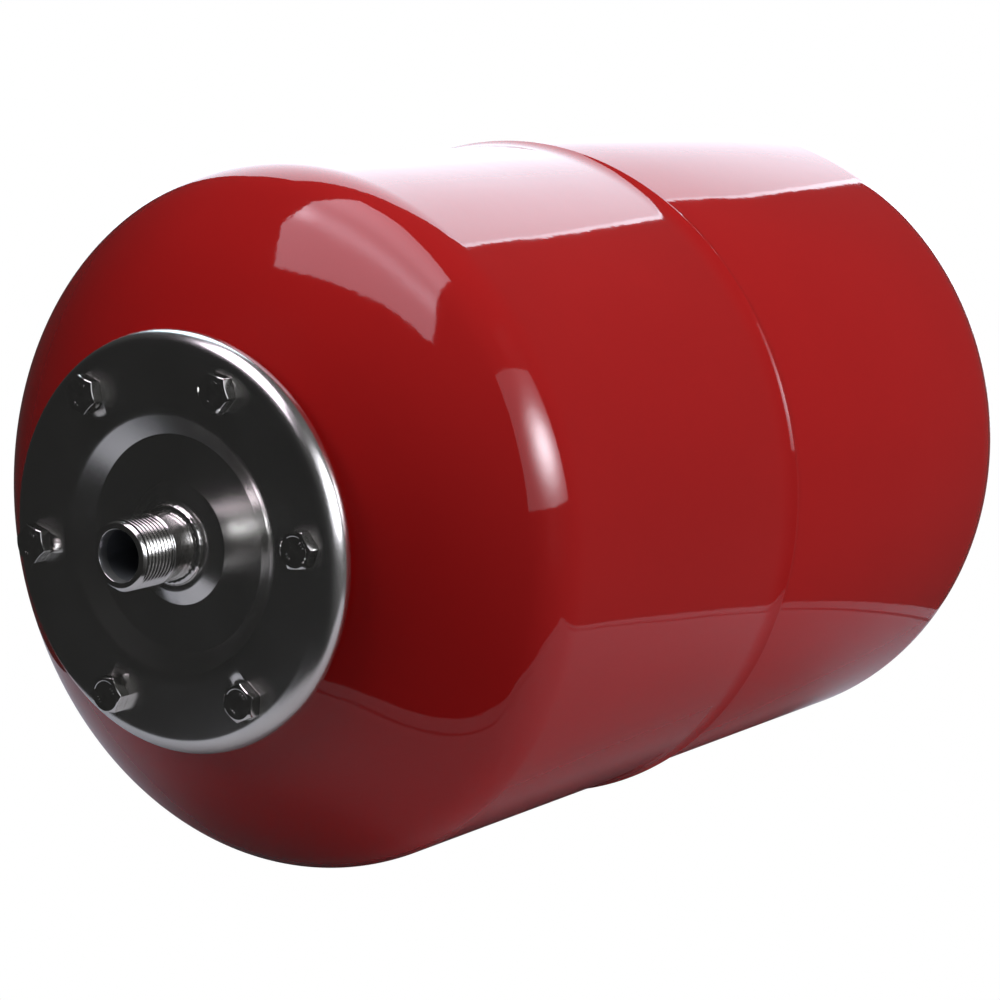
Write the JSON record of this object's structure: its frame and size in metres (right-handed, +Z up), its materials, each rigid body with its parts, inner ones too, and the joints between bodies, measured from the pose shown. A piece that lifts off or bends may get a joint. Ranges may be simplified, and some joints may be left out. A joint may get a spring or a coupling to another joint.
{
  "type": "expansion vessel",
  "caption": "Horizontal closed steel expansion vessel with domed ends, a bolted recessed cover with a threaded nozzle, an inner rubber bag and an air valve at the rear.",
  "frame": {"origin": "On the vessel's axis, half-way along the connection thread", "axes": "The vessel's axis lies along Y and the nozzle points to -Y; +Z is up as the vessel lies on its side"},
  "size_m": [0.2768, 0.5096, 0.2768],
  "materials": {
    "red_enamel": "high gloss red enamel",
    "cover_steel": "satin zinc-coated pressed steel",
    "nozzle_steel": "turned and bright plated",
    "bolt_steel": "bright zinc plated",
    "inner_steel": "plain mild steel",
    "bag_rubber": "matt moulded rubber",
    "seal_rubber": "smooth black rubber",
    "valve_brass": "turned brass",
    "core_seal": "white sealing plastic",
    "spring_steel": "drawn wire",
    "cap_plastic": "moulded black plastic"
  },
  "bodies": {
    "vessel": {"front_shell": "red_enamel", "rear_shell": "red_enamel", "seam_weld": "red_enamel", "mouth_ring": "inner_steel", "weld_nuts": "inner_steel", "cover_plate": "cover_steel", "nozzle": "nozzle_steel", "nozzle_weld": "nozzle_steel", "flange_bolts": "bolt_steel", "membrane": "bag_rubber", "valve_boss": "red_enamel", "valve_boss_weld": "red_enamel", "valve_body": "valve_brass", "valve_o_ring": "seal_rubber", "valve_core_barrel": "valve_brass", "valve_core_gasket": "core_seal", "valve_core_spring": "spring_steel"},
    "bag_end": {"membrane_crown": "bag_rubber"},
    "valve_pin": {"valve_core_pin": "valve_brass", "valve_core_seal": "seal_rubber"},
    "cap": {"valve_cap": "cap_plastic", "valve_cap_gasket": "seal_rubber"}
  },
  "joints": [
    {"name": "bag_fill", "type": "slide", "parent": "vessel", "child": "bag_end", "axis": [0, 1, 0], "range_m": [-0.14, 0.06], "stiffness_N_per_m": 200, "deforming": ["membrane"]},
    {"name": "valve_pin_press", "type": "slide", "parent": "vessel", "child": "valve_pin", "axis": [0, -1, 0], "range_m": [0, 0.0015], "stiffness_N_per_m": 800, "deforming": ["valve_core_spring"]},
    {"name": "cap_off", "type": "slide", "parent": "vessel", "child": "cap", "axis": [0, 1, 0], "range_m": [0, 0.05]}
  ]
}
